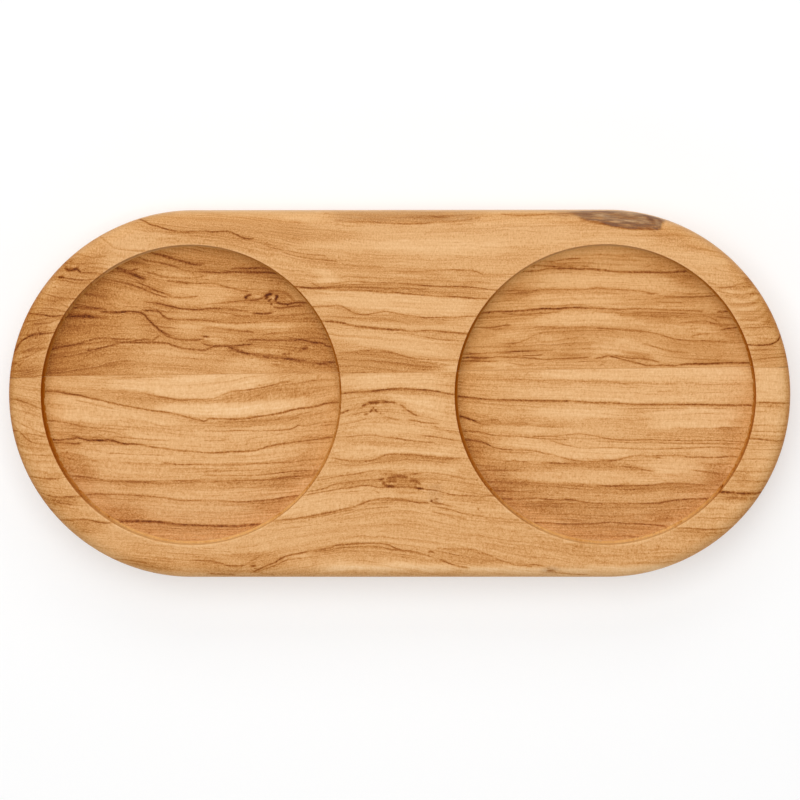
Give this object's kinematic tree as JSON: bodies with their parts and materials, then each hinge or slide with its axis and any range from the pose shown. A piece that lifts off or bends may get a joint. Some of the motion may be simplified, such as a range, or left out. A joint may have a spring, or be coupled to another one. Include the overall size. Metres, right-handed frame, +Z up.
{
  "type": "pepper mill tray",
  "caption": "Stadium-shaped wooden table tray edge-glued from two staves, with round wells that hold salt and pepper mills and non-slip feet underneath.",
  "frame": {"origin": "on the table, under the middle of the tray, at the lowest point of the feet", "axes": "+X along the tray's length, +Y towards its back long edge, +Z up out of the wells"},
  "size_m": [0.175, 0.082, 0.0164],
  "materials": {
    "back_wood": "oiled figured hardwood, satin",
    "front_wood": "oiled figured hardwood, satin",
    "glue": "cured wood glue, sanded flush",
    "foot_rubber": "matt moulded rubber",
    "foot_adhesive": "double-sided adhesive film"
  },
  "bodies": {
    "root": {"back_stave": "back_wood", "front_stave": "front_wood", "glue_line": "glue", "foot_front_left": "foot_rubber", "foot_front_right": "foot_rubber", "foot_back_left": "foot_rubber", "foot_back_right": "foot_rubber", "foot_tape_front_left": "foot_adhesive", "foot_tape_front_right": "foot_adhesive", "foot_tape_back_left": "foot_adhesive", "foot_tape_back_right": "foot_adhesive"}
  },
  "joints": []
}
